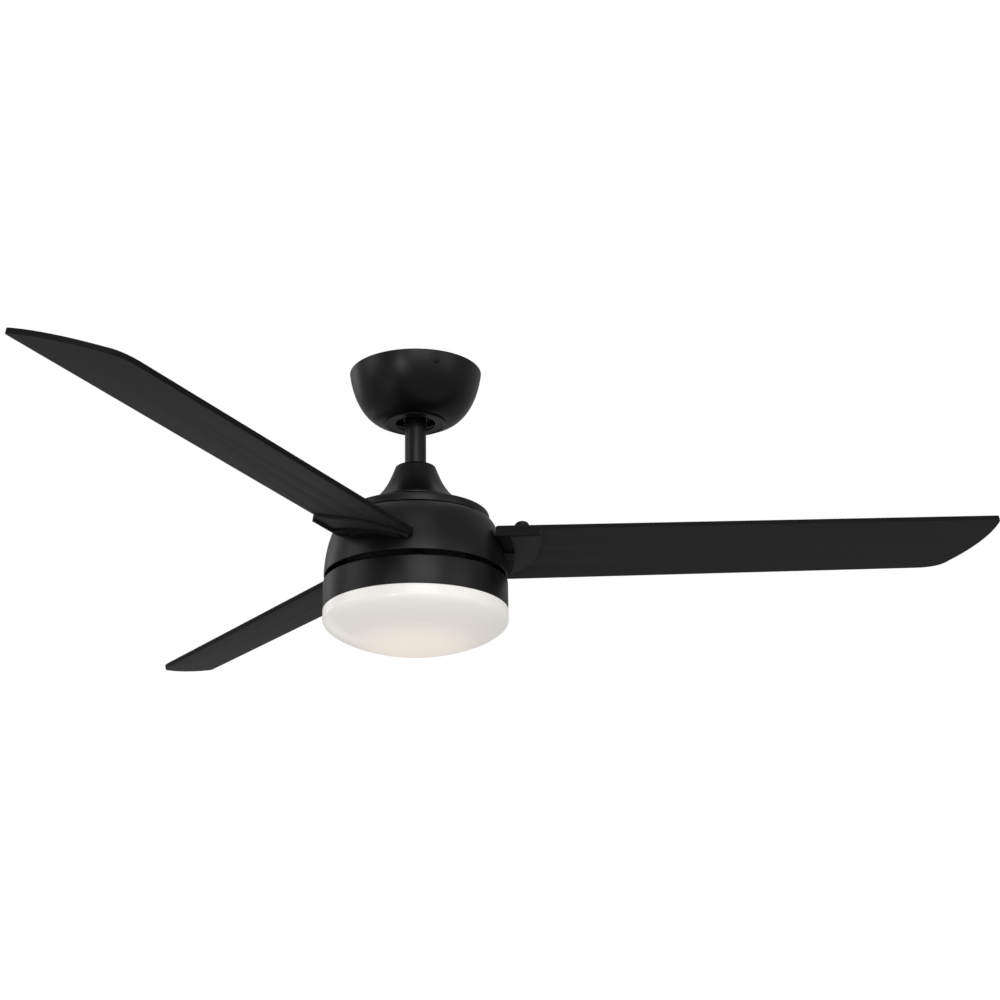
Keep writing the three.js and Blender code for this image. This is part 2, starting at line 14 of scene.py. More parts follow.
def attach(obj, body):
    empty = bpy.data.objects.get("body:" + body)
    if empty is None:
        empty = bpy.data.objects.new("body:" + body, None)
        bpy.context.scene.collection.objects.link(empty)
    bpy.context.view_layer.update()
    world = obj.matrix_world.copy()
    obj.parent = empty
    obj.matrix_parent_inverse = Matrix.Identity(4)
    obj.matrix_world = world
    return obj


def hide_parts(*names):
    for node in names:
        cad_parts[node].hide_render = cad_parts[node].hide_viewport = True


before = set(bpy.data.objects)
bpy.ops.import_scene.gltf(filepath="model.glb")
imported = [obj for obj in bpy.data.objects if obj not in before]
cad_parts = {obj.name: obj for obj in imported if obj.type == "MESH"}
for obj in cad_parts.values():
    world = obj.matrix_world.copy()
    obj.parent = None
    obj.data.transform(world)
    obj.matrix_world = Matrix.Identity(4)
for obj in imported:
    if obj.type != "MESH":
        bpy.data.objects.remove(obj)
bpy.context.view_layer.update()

MM = 0.001
# Steps round a full turn, from the dome down to a drill.
FINEST = 192
FINE = 160
MEDIUM = 96
COARSE = 72
DRILL = 24

# Shape, in millimetres and radians.
GAP = 0.35
BLADE_COUNT = 3
BLADE_PITCH = math.radians(14)
BLADE_CONING = math.radians(1.4)
BLADE_PLANE = -240
BLADE_HALF = 3
SWEEP = 711
BLADE_ROOT = 98
LEADING_ROOT = -53.8
LEADING_TIP = -51
TRAILING_TIP = 56
TRAILING_ROOT = 60
SKIN = 1.8
RING_TOP = -278.1
RING_BOTTOM = -313.6
RING_RADIUS = 113.3
GLASS_RADIUS = 113.4
GLASS_BOTTOM = -365.5
GLOW_DEPTH = 34
DOME_TOP = -204
DOME_BOTTOM = -271.2
DOME_RADIUS = 112.6
TAB_TOP = -245.95
TAB_THICK = 3.6


# ---- materials ---------------------------------------------------------------------
def node(tree, kind, **values):
    """A new node, its attributes set, and its inputs set where a key names one."""
    made = tree.nodes.new(kind)
    for key, value in values.items():
        name = key.replace("_", " ").title()
        if name in made.inputs:
            made.inputs[name].default_value = value
        else:
            setattr(made, key, value)
    return made


def ramp(tree, source, low, high):
    """A colour ramp from low to high, fed by a noise value between 0.3 and 0.7."""
    made = tree.nodes.new("ShaderNodeValToRGB")
    made.color_ramp.elements[0].position = 0.3
    made.color_ramp.elements[1].position = 0.7
    made.color_ramp.elements[0].color = (*low, 1)
    made.color_ramp.elements[1].color = (*high, 1)
    tree.links.new(source, made.inputs["Fac"])
    return made.outputs["Color"]


def spread(tree, source, low, high):
    """A noise value between 0.3 and 0.7 stretched to run from low to high."""
    made = tree.nodes.new("ShaderNodeMapRange")
    made.inputs["From Min"].default_value = 0.3
    made.inputs["From Max"].default_value = 0.7
    made.inputs["To Min"].default_value = low
    made.inputs["To Max"].default_value = high
    tree.links.new(source, made.inputs["Value"])
    return made.outputs["Result"]


def noise(tree, coordinates, scale, detail=3, stretch=None):
    """A noise of that many features per metre, finer across the stretched directions."""
    if stretch:
        mapping = tree.nodes.new("ShaderNodeMapping")
        mapping.inputs["Scale"].default_value = stretch
        tree.links.new(coordinates, mapping.inputs["Vector"])
        coordinates = mapping.outputs["Vector"]
    made = node(tree, "ShaderNodeTexNoise", scale=scale, detail=detail, roughness=0.55)
    tree.links.new(coordinates, made.inputs["Vector"])
    return made.outputs["Fac"]


def bump(tree, height, depth, strength, under=None):
    made = node(tree, "ShaderNodeBump", strength=strength, distance=depth)
    tree.links.new(height, made.inputs["Height"])
    if under:
        tree.links.new(under, made.inputs["Normal"])
    return made.outputs["Normal"]


def blank(name):
    """A material with one Principled shader: (material, tree, shader, object coordinates)."""
    material = bpy.data.materials.new(name)
    material.use_nodes = True
    tree = material.node_tree
    shader = tree.nodes["Principled BSDF"]
    where = tree.nodes.new("ShaderNodeTexCoord").outputs["Object"]
    return material, tree, shader, where


def coated(name, dark, light, rough, metal=0.0, specular=0.5, grain=1400, depth=0.00006,
           strength=0.25, patch=22, stretch=None):
    """Colour and roughness drift over patches, with a fine grain in relief."""
    material, tree, shader, where = blank(name)
    shader.inputs["Metallic"].default_value = metal
    shader.inputs["Specular IOR Level"].default_value = specular
    drift = noise(tree, where, patch, 4, stretch)
    tree.links.new(ramp(tree, drift, dark, light), shader.inputs["Base Color"])
    fine = noise(tree, where, grain, 2, stretch)
    tree.links.new(spread(tree, drift, *rough), shader.inputs["Roughness"])
    tree.links.new(bump(tree, fine, depth, strength), shader.inputs["Normal"])
    return material


def grey(value):
    return (value, value, value)


def blade_finish(name):
    """Matt charcoal film over a faint long grain, which runs along the blade."""
    material, tree, shader, where = blank(name)
    shader.inputs["Specular IOR Level"].default_value = 0.28
    along = noise(tree, where, 10, 5, (0.35, 9, 9))
    streak = noise(tree, where, 60, 4, (0.12, 6, 6))
    colour = ramp(tree, along, (0.0300, 0.0282, 0.0284), (0.0325, 0.0306, 0.0308))
    tree.links.new(colour, shader.inputs["Base Color"])
    tree.links.new(spread(tree, streak, 0.60, 0.64), shader.inputs["Roughness"])
    grain = bump(tree, streak, 0.00004, 0.07)
    speck = noise(tree, where, 1500, 2)
    tree.links.new(bump(tree, speck, 0.00004, 0.08, grain), shader.inputs["Normal"])
    return material


def opal_finish(name):
    """White opal glass, lit from inside: it glows softly, and warmer at the bottom centre."""
    material, tree, shader, where = blank(name)
    shader.inputs["Coat Weight"].default_value = 0.25
    shader.inputs["Coat Roughness"].default_value = 0.12
    shader.inputs["Specular IOR Level"].default_value = 0.4
    split = tree.nodes.new("ShaderNodeSeparateXYZ")
    tree.links.new(where, split.inputs["Vector"])
    height = node(tree, "ShaderNodeMapRange", interpolation_type="SMOOTHSTEP")
    height.inputs["From Min"].default_value = GLASS_BOTTOM * MM
    height.inputs["From Max"].default_value = (GLASS_BOTTOM + GLOW_DEPTH) * MM
    tree.links.new(split.outputs["Z"], height.inputs["Value"])
    glow = tree.nodes.new("ShaderNodeValToRGB")
    glow.color_ramp.elements[0].color = (0.61, 0.525, 0.455, 1)
    glow.color_ramp.elements[1].color = (0.40, 0.385, 0.367, 1)
    middle = glow.color_ramp.elements.new(0.45)
    middle.color = (0.435, 0.405, 0.385, 1)
    tree.links.new(height.outputs["Result"], glow.inputs["Fac"])
    tree.links.new(glow.outputs["Color"], shader.inputs["Emission Color"])
    shader.inputs["Emission Strength"].default_value = 1
    cloud = noise(tree, where, 30, 3)
    milk = ramp(tree, cloud, (0.80, 0.790, 0.775), (0.83, 0.820, 0.805))
    tree.links.new(milk, shader.inputs["Base Color"])
    tree.links.new(spread(tree, cloud, 0.26, 0.34), shader.inputs["Roughness"])
    ripple = noise(tree, where, 18, 2)
    tree.links.new(bump(tree, ripple, 0.0004, 0.05), shader.inputs["Normal"])
    return material


def wound_finish(name):
    """Enamelled copper wire, laid in fine turns round the motor's axis."""
    material, tree, shader, where = blank(name)
    shader.inputs["Metallic"].default_value = 0.9
    drift = noise(tree, where, 60, 3)
    colour = ramp(tree, drift, (0.36, 0.13, 0.045), (0.52, 0.21, 0.08))
    tree.links.new(colour, shader.inputs["Base Color"])
    tree.links.new(spread(tree, drift, 0.3, 0.42), shader.inputs["Roughness"])
    wave = node(tree, "ShaderNodeTexWave", wave_type="RINGS", rings_direction="Z",
                scale=260, distortion=0.4)
    tree.links.new(where, wave.inputs["Vector"])
    tree.links.new(bump(tree, wave.outputs["Fac"], 0.0004, 0.6), shader.inputs["Normal"])
    return material


FINISHES = {
    "housing_black": coated("housing_black", grey(0.0034), grey(0.0052), (0.33, 0.38),
                            specular=0.34),
    "blade_black": blade_finish("blade_black"),
    # Painted shade: a near-black laid on shell insides, blade side faces and iron root ribs,
    # where shade falls.
    "painted_shade_black": coated("painted_shade_black", grey(0.0050), grey(0.0080), (0.55, 0.62),
                         specular=0.16, grain=1100, patch=60),
    "iron_black": coated("iron_black", grey(0.028), grey(0.033), (0.50, 0.58), specular=0.3),
    "screw_black": coated("screw_black", grey(0.010), grey(0.016), (0.28, 0.36),
                          metal=0.4, grain=2600),
    "opal_glass": opal_finish("opal_glass"),
    "bare_steel": coated("bare_steel", (0.42, 0.43, 0.44), (0.58, 0.59, 0.60), (0.28, 0.46),
                         metal=0.95, grain=900, patch=70, strength=0.15),
    # A dark coated steel, made darker still as painted shade for the gap under the dome, where
    # the motor shows.
    "core_steel": coated("core_steel", (0.030, 0.031, 0.033), (0.045, 0.046, 0.048),
                         (0.42, 0.55), metal=0.6, grain=1500, patch=90,
                         stretch=(1, 1, 9), strength=0.3),
    "copper_winding": wound_finish("copper_winding"),
    "magnet": coated("magnet", grey(0.045), grey(0.065), (0.5, 0.62), metal=0.3, grain=2200),
    "white_plastic": coated("white_plastic", (0.72, 0.72, 0.70), (0.79, 0.79, 0.77),
                            (0.42, 0.5), grain=1100, strength=0.2),
    "wire_insulation": coated("wire_insulation", grey(0.012), grey(0.02), (0.42, 0.52),
                              grain=900),
    "wire_nut_orange": coated("wire_nut_orange", (0.52, 0.13, 0.03), (0.60, 0.17, 0.04),
                              (0.36, 0.46), grain=1300),
    "led_board": coated("led_board", (0.80, 0.78, 0.70), (0.86, 0.84, 0.77), (0.4, 0.5),
                        grain=700, patch=120),
}


# ---- mesh helpers ------------------------------------------------------------------
def curve(start, control1, control2, end, steps):
    """Points on a cubic Bezier curve, both ends included."""
    points = []
    for i in range(steps + 1):
        t = i / steps
        s = 1 - t
        share = (s ** 3, 3 * s * s * t, 3 * s * t * t, t ** 3)
        corners = (start, control1, control2, end)
        points.append(tuple(sum(w * c[k] for w, c in zip(share, corners)) for k in (0, 1)))
    return points


def eased(corners):
    """An outline from (x, y, round) corners, where round is how far the rounding reaches."""
    outline = []
    steps = 5
    count = len(corners)
    for i, (x, y, reach) in enumerate(corners):
        here = Vector((x, y))
        if reach == 0:
            outline.append((x, y))
            continue
        before = Vector(corners[i - 1][:2]) - here
        after = Vector(corners[(i + 1) % count][:2]) - here
        first = here + before.normalized() * min(reach, before.length * 0.49)
        last = here + after.normalized() * min(reach, after.length * 0.49)
        for k in range(steps + 1):
            t = k / steps
            point = first * (1 - t) ** 2 + here * 2 * t * (1 - t) + last * t ** 2
            outline.append((point.x, point.y))
    return outline


def inside(points, wall):
    """The outline that lies a wall's thickness nearer the axis, in the reverse order."""
    moved = []
    last = len(points) - 1
    for i, (r, z) in enumerate(points):
        before = points[max(i - 1, 0)]
        after = points[min(i + 1, last)]
        run = math.hypot(after[0] - before[0], after[1] - before[1])
        out_r = -(after[1] - before[1]) / run
        out_z = (after[0] - before[0]) / run
        moved.append((r - out_r * wall, z - out_z * wall))
    return moved[::-1]


def finish_mesh(bm, name, sharp_angle=32):
    bmesh.ops.remove_doubles(bm, verts=bm.verts, dist=1e-7)
    bmesh.ops.recalc_face_normals(bm, faces=bm.faces)
    mesh = bpy.data.meshes.new(name)
    bm.to_mesh(mesh)
    bm.free()
    smooth(mesh, sharp_angle)
    return mesh


def smooth(mesh, sharp_angle=32):
    mesh.shade_smooth()
    mesh.set_sharp_from_angle(angle=math.radians(sharp_angle))


def turned_mesh(name, outline, segments=FINE):
    """A closed (radius, height) outline turned about Z."""
    bm = bmesh.new()
    rings = []
    for r, z in outline:
        if r < 1e-4:
            rings.append([bm.verts.new((0, 0, z * MM))] * segments)
            continue
        turn = [2 * math.pi * k / segments for k in range(segments)]
        rings.append([
            bm.verts.new((r * MM * math.cos(a), r * MM * math.sin(a), z * MM)) for a in turn
        ])
    for i, ring in enumerate(rings):
        following = rings[(i + 1) % len(rings)]
        for k in range(segments):
            j = (k + 1) % segments
            corners = dict.fromkeys((ring[k], ring[j], following[j], following[k]))
            if len(corners) > 2:
                bm.faces.new(list(corners))
    return finish_mesh(bm, name)


def slab_mesh(name, outline, low, high):
    """A closed (x, y) outline between two heights."""
    bm = bmesh.new()
    layers = [[bm.verts.new((x * MM, y * MM, z * MM)) for x, y in outline] for z in (low, high)]
    bm.faces.new(layers[0])
    bm.faces.new(layers[1])
    for i in range(len(outline)):
        j = (i + 1) % len(outline)
        bm.faces.new((layers[0][i], layers[0][j], layers[1][j], layers[1][i]))
    return finish_mesh(bm, name)


def block_mesh(name, centre, size):
    x, y = size[0] / 2, size[1] / 2
    outline = [(centre[0] + sx * x, centre[1] + sy * y) for sx, sy in
               ((-1, -1), (1, -1), (1, 1), (-1, 1))]
    return slab_mesh(name, outline, centre[2] - size[2] / 2, centre[2] + size[2] / 2)


def new_object(name, mesh, matrix=None):
    made = bpy.data.objects.new(name, mesh)
    bpy.context.scene.collection.objects.link(made)
    if matrix is not None:
        made.matrix_world = matrix
    return made


def carve(obj, steps, rounding=0):
    """Cuts and joins obj with (operation, object) tools, then rounds its sharp edges."""
    for operation, tool in steps:
        change = obj.modifiers.new(operation.lower(), "BOOLEAN")
        change.operation = operation
        change.object = tool
        change.solver = "EXACT"
    if rounding:
        bevel = obj.modifiers.new("rounding", "BEVEL")
        bevel.width = rounding * MM
        bevel.segments = 3
        bevel.limit_method = "ANGLE"
        bevel.angle_limit = math.radians(40)
        bevel.miter_outer = "MITER_ARC"
    bpy.context.view_layer.update()
    graph = bpy.context.evaluated_depsgraph_get()
    mesh = bpy.data.meshes.new_from_object(obj.evaluated_get(graph))
    obj.modifiers.clear()
    obj.data = mesh
    smooth(mesh)
    for _, tool in steps:
        bpy.data.objects.remove(tool)
    return obj


def dress(obj, finish, body, *nodes):
    """Gives obj its finish and body, and lets it stand for its CAD nodes."""
    obj.data.materials.clear()
    obj.data.materials.append(FINISHES[finish])
    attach(obj, body)
    if nodes:
        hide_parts(*nodes)
    return obj


def paint(mesh, finish, chosen):
    """Gives the faces that chosen(centre in millimetres, normal) picks another finish."""
    added = len(mesh.materials)
    mesh.materials.append(FINISHES[finish])
    for face in mesh.polygons:
        if chosen(face.center / MM, face.normal):
            face.material_index = added


# Picks a blade's side faces, which take a darker black as painted shade.
def is_painted_shade_edge(_, normal):
    return abs(normal.z) < 0.8


# Picks the faces turned to the axis, a shell's inside, which take a darker black as painted
# shade.
def is_painted_shade_wall(centre, normal):
    return centre.x * normal.x + centre.y * normal.y < 0


def is_outer_iron(centre, _):
    return centre.x > 100


def is_painted_shade_rib(centre, _):
    """The rib's faces, which reach below the iron's plate; they take a darker black as painted
    shade.
    """
    return centre.x < RIB_RADIUS + 0.5 and centre.z < -7.6


def turned_piece(name, outline, finish, body, *nodes, segments=FINE):
    return dress(new_object(name, turned_mesh(name, outline, segments)), finish, body, *nodes)


def turn(degrees):
    return Matrix.Rotation(math.radians(degrees), 4, "Z")


def arc_block(name, inner, outer, low, high, start, end):
    """A block between two radii, two heights and two angles in degrees."""
    steps = 6
    angles = [math.radians(start + (end - start) * i / steps) for i in range(steps + 1)]
    outline = [(outer * math.cos(a), outer * math.sin(a)) for a in angles]
    outline += [(inner * math.cos(a), inner * math.sin(a)) for a in reversed(angles)]
    return new_object(name, slab_mesh(name, outline, low, high))


def cross_recess(name, reach, width, low, high):
    """The two crossed slots that a driver fits, standing along Z."""
    first = new_object(name + "_a", block_mesh(name, (0, 0, (low + high) / 2),
                                               (2 * reach, width, high - low)))
    second = new_object(name + "_b", block_mesh(name, (0, 0, (low + high) / 2),
                                                (width, 2 * reach, high - low)))
    return [("DIFFERENCE", first), ("DIFFERENCE", second)]


# ---- ceiling canopy ----------------------------------------------------------------
CANOPY_RIM = (83.2, -1.2)
CANOPY_LIP = (39.5, -67)
CANOPY_SCREWS = (289, 109)
CANOPY_SCREW_Z = -14
CANOPY_HOLE = 25
CANOPY_WALL_RADIUS = 80.9
CANOPY_WALL_LEAN = math.radians(13.5)
BRACKET_SCREW_X = 44
BRACKET_PLATE = 2.4
NUT_PLACE = (0.046, 0.014, -0.0245)


def make_canopy():
    wall = curve(CANOPY_RIM, (79.6, -28.5), (67.2, -60.8), CANOPY_LIP, 40)
    inner = inside(wall, SKIN)
    inner[0] = (inner[0][0], CANOPY_LIP[1] + SKIN)
    inner[-1] = (CANOPY_RIM[0] - SKIN, CANOPY_RIM[1])
    flange = CANOPY_HOLE + 3
    outline = wall + [(flange + 0.5, CANOPY_LIP[1]), (flange, CANOPY_LIP[1] + 0.5),
                      (flange, CANOPY_LIP[1] + SKIN)]
    shell = new_object("canopy_shell", turned_mesh("canopy_shell", outline + inner))
    holes = []
    for i, degrees in enumerate(CANOPY_SCREWS):
        drill = turned_mesh("drill", [(0, -12), (2.4, -12), (2.4, 12), (0, 12)], DRILL)
        place = turn(degrees)
        place = place @ Matrix.Translation((CANOPY_WALL_RADIUS * MM, 0, CANOPY_SCREW_Z * MM))
        place = place @ Matrix.Rotation(CANOPY_WALL_LEAN + math.radians(90), 4, "Y")
        holes.append(("DIFFERENCE", new_object(f"drill_{i}", drill, place)))
    dress(carve(shell, holes), "housing_black", "ceiling_mount", "canopy")
    # The canopy's inner wall gets a darker black as painted shade, for the shade inside the
    # canopy.
    paint(shell.data, "painted_shade_black", is_painted_shade_wall)

    top = CANOPY_LIP[1] - GAP
    turned_piece("canopy_trim", eased([
        (CANOPY_HOLE, top, 0.3), (38.2, top, 0.3), (38.6, top - 1.2, 0.5), (37.2, top - 2.2, 0.8),
        (35.4, top - 1.2, 0.4), (CANOPY_HOLE + 1, top - 1.2, 0.4),
        (CANOPY_HOLE, top - 0.6, 0.2),
    ]), "housing_black", "ceiling_mount", "canopy_ring")


def pan_head_mesh(name, radius, height, shank, length, recess):
    """A pan-head screw, its head below height 0 and its shank above, with a cross recess."""
    outline = eased([
        (0, -height, 0), (radius * 0.72, -height, radius * 0.5), (radius, -height * 0.35, 0.5),
        (radius, 0, 0.15), (shank, 0, 0.1), (shank, length, 0.3), (0, length, 0),
    ])
    made = new_object(name, turned_mesh(name, outline, COARSE))
    carve(made, cross_recess(name, recess, recess * 0.3, -height - 1, -height * 0.45))
    mesh = made.data
    bpy.data.objects.remove(made)
    return mesh


def make_canopy_screws():
    mesh = pan_head_mesh("canopy_screw", 3.4, 1.6, 2, 7, 2.0)
    for i, degrees in enumerate(CANOPY_SCREWS, 1):
        seat = ((CANOPY_WALL_RADIUS + GAP) * MM, 0, (CANOPY_SCREW_Z - 0.1) * MM)
        place = turn(degrees) @ Matrix.Translation(seat)
        place = place @ Matrix.Rotation(CANOPY_WALL_LEAN - math.radians(90), 4, "Y")
        screw = new_object(f"canopy_screw_head_{i}", mesh.copy(), place)
        dress(screw, "screw_black", "ceiling_mount", f"canopy_screw_{i}")


def make_bracket_screws():
    mesh = pan_head_mesh("bracket_screw", 4.6, 2.8, 2.3, 2.2, 2.8)
    for i, side in enumerate((-1, 1), 1):
        place = Matrix.Translation((side * BRACKET_SCREW_X * MM, 0, -(BRACKET_PLATE + GAP) * MM))
        screw = new_object(f"bracket_screw_head_{i}", mesh.copy(), place)
        dress(screw, "bare_steel", "ceiling_mount", f"bracket_screw_{i}")


def make_wire_nut():
    """A moulded twist-on connector: a ribbed cone."""
    ribs = 24
    count = ribs * 4
    bm = bmesh.new()
    profile = [(0, -20), (2.4, -20), (3.1, -19.2), (4.0, -13), (5.0, -4), (5.2, -2.4),
               (5.0, -0.6), (4.4, 0), (2.2, 0), (1.9, -0.4), (1.9, -6), (0, -6)]
    rings = []
    for r, z in profile:
        grooved = 3 < r < 5.1 and z < -0.7
        circle = []
        for k in range(count):
            depth = 0.22 if grooved and k % 4 in (0, 1) else 0
            angle = 2 * math.pi * k / count
            out = max(r - depth, 0) * MM
            circle.append(bm.verts.new((out * math.cos(angle), out * math.sin(angle), z * MM)))
        rings.append(circle)
    for low, high in zip(rings, rings[1:]):
        for k in range(count):
            j = (k + 1) % count
            bm.faces.new((low[k], low[j], high[j], high[k]))
    bmesh.ops.remove_doubles(bm, verts=bm.verts, dist=1e-6)
    mesh = finish_mesh(bm, "wire_nut_moulded", 25)
    nut = new_object("wire_nut_moulded", mesh, Matrix.Translation(NUT_PLACE))
    dress(nut, "wire_nut_orange", "ceiling_mount", "wire_nut")


# ---- ball, rod and the covers over the motor ------------------------------------------
BALL_CENTRE = -46
BALL_RADIUS = 22.5
ROD_RADIUS = 13.35
ROD_TOP = -28
ROD_BOTTOM = -157
NECK_TOP = -127.6
CAP_RADIUS = 91.6
CAP_TOP = -192.5
CAP_BOTTOM = -202


def make_ball_and_rod():
    reach = math.asin((ROD_TOP - 1.2 - BALL_CENTRE) / BALL_RADIUS)
    steps = 28
    angles = [-reach + 2 * reach * i / steps for i in range(steps + 1)]
    ball = [(BALL_RADIUS * math.cos(a), BALL_CENTRE + BALL_RADIUS * math.sin(a)) for a in angles]
    bore = ROD_RADIUS + GAP
    turned_piece("hanger_ball_turned", [(bore, ball[0][1])] + ball + [(bore, ball[-1][1])],
                 "screw_black", "fan_body", "hanger_ball", segments=MEDIUM)
    inner = ROD_RADIUS - 2.4
    turned_piece("downrod_tube", eased([
        (inner, ROD_BOTTOM, 0.4), (ROD_RADIUS, ROD_BOTTOM, 0.4),
        (ROD_RADIUS, ROD_TOP, 0.4), (inner, ROD_TOP, 0.4),
    ]), "housing_black", "fan_body", "downrod", segments=MEDIUM)


def make_covers():
    foot = (56.6, -177.2)
    flare = curve((25.5, NECK_TOP - 0.8), (32.2, -148.2), (40.6, -164.6), foot, 36)
    hole = ROD_RADIUS + 1
    collar = eased([(hole, NECK_TOP - SKIN, 0), (hole, NECK_TOP, 0.3),
                    (24.7, NECK_TOP, 0.4), (*flare[0], 0.3)])
    outline = collar + flare[1:] + [(foot[0], -178.6)] + inside(flare, SKIN)
    outline += [(23, NECK_TOP - SKIN)]
    turned_piece("coupling_cover_spun", outline, "housing_black", "fan_body", "coupling_cover")

    top = -180.2
    inner = CAP_RADIUS - SKIN
    turned_piece("motor_cap_pressed", eased([
        (36, top, 0.3), (56, top, 3), (90.2, CAP_TOP + 0.8, 1.8),
        (CAP_RADIUS, CAP_TOP - 1.6, 1.2), (CAP_RADIUS, CAP_BOTTOM, 0.4),
        (inner, CAP_BOTTOM, 0.3), (inner, CAP_TOP - 2.4, 1), (56, top - SKIN, 2),
        (36, top - SKIN, 0),
    ]), "housing_black", "fan_body", "motor_cap")


# ---- hub dome, blades and blade irons -----------------------------------------------
BLADE_SCREWS = ((130, 43), (137, 6), (117, -31))
IRON_ROOT = 84
IRON_END = 151
IRON_PLATE = 4
IRON_DEPTH = 8
RIB_RADIUS = 122
TAB_WIDTH = 38
HOLE_BOTTOM = -6.6


def dome_curve(steps=40):
    return curve((94.8, DOME_TOP), (104.5, -214), (DOME_RADIUS, -245), (DOME_RADIUS, DOME_BOTTOM),
                 steps)


def make_dome():
    outer = dome_curve()
    inner = inside(outer, SKIN)
    inner[0] = (DOME_RADIUS - SKIN, DOME_BOTTOM)
    under = DOME_TOP - 2.2
    rolled = eased([(*outer[-2], 0), (DOME_RADIUS, DOME_BOTTOM, 0.6), (*inner[0], 0.3),
                    (*inner[1], 0)])[1:-1]
    outline = eased([(83, DOME_TOP, 0.3), (94.2, DOME_TOP, 0)]) + outer[1:-1] + rolled
    outline += inner[1:-1] + [(91.5, under), (83, under)]
    dome = new_object("hub_dome_spun", turned_mesh("hub_dome_spun", outline, FINEST))
    slots = []
    for i in range(BLADE_COUNT):
        size = (30, TAB_WIDTH + 2, TAB_THICK + 2)
        slot = block_mesh("slot", (104, 0, TAB_TOP - TAB_THICK / 2), size)
        slots.append(("DIFFERENCE", new_object(f"slot_{i}", slot, turn(120 * i))))
    dress(carve(dome, slots), "housing_black", "rotor", "hub_dome")
    # The dome's inner wall gets a darker black as painted shade, for the shade in the gap below
    # the dome.
    paint(dome.data, "painted_shade_black", is_painted_shade_wall)


def blade_place(index):
    """Where blade-frame meshes go: x outward, y to the trailing side, z off the blade."""
    tilt = Matrix.Rotation(-BLADE_CONING, 4, "Y") @ Matrix.Rotation(-BLADE_PITCH, 4, "X")
    return turn(120 * index) @ Matrix.Translation((0, 0, BLADE_PLANE * MM)) @ tilt


def quadratic(start, control, end, steps):
    first = tuple(s + (c - s) * 2 / 3 for s, c in zip(start, control))
    second = tuple(e + (c - e) * 2 / 3 for e, c in zip(end, control))
    return curve(start, first, second, end, steps)


def blade_outline():
    root, tip = BLADE_ROOT, SWEEP
    front, back = LEADING_ROOT, TRAILING_ROOT
    point = (tip - 0.6, LEADING_TIP + 5)
    heel = (tip - 45, 41)
    outline = [(root + 3, front)]
    outline += quadratic((tip - 6, LEADING_TIP), (tip, LEADING_TIP), point, 6)
    outline += curve(point, (tip - 3.5, -19), (tip - 19, 12), heel, 24)[1:]
    outline += quadratic(heel, (tip - 54.5, TRAILING_TIP), (tip - 85, TRAILING_TIP), 10)[1:]
    outline += quadratic((root + 14, back), (root - 1, back), (root, back - 14), 8)
    outline += quadratic((root, front + 3), (root, front), (root + 3, front), 4)
    return outline[:-1]


def iron_outline():
    outline = [(IRON_ROOT, -53.5)]
    outline += quadratic((IRON_END, -53), (153, -53), (153, -51), 5)
    outline += curve((153, -51), (153.5, -6), (150, 32), (100, 52), 40)[1:]
    return outline + [(IRON_ROOT, 54)]


def rib_outline():
    """The rib under the iron's root, which follows the dome's round."""
    start, end, steps = math.radians(-24.5), math.radians(22), 24
    angles = [start + (end - start) * i / steps for i in range(steps + 1)]
    arc = [(RIB_RADIUS * math.cos(a), RIB_RADIUS * math.sin(a)) for a in angles]
    return [(IRON_ROOT, arc[0][1])] + arc + [(IRON_ROOT, arc[-1][1])]


def dome_envelope():
    """The space that the dome and a gap round it take up."""
    clearance = 0.8
    walls = [(r + clearance, z) for r, z in dome_curve(24)]
    outline = [(0, DOME_TOP + 5), (walls[0][0], DOME_TOP + 5)] + walls
    outline += [(DOME_RADIUS + clearance, DOME_BOTTOM - 5), (0, DOME_BOTTOM - 5)]
    return new_object("dome_envelope", turned_mesh("dome_envelope", outline, FINEST))


def drills(matrix, start):
    """The three screw holes of the blade at that place, from height start upward."""
    radius = 3.3
    made = []
    for i, (out, chord) in enumerate(BLADE_SCREWS):
        outline = [(0, start), (radius, start), (radius, 30), (0, 30)]
        drill = turned_mesh("drill", outline, DRILL)
        place = matrix @ Matrix.Translation((out * MM, -chord * MM, 0))
        made.append(("DIFFERENCE", new_object(f"drill_{i}", drill, place)))
    return made


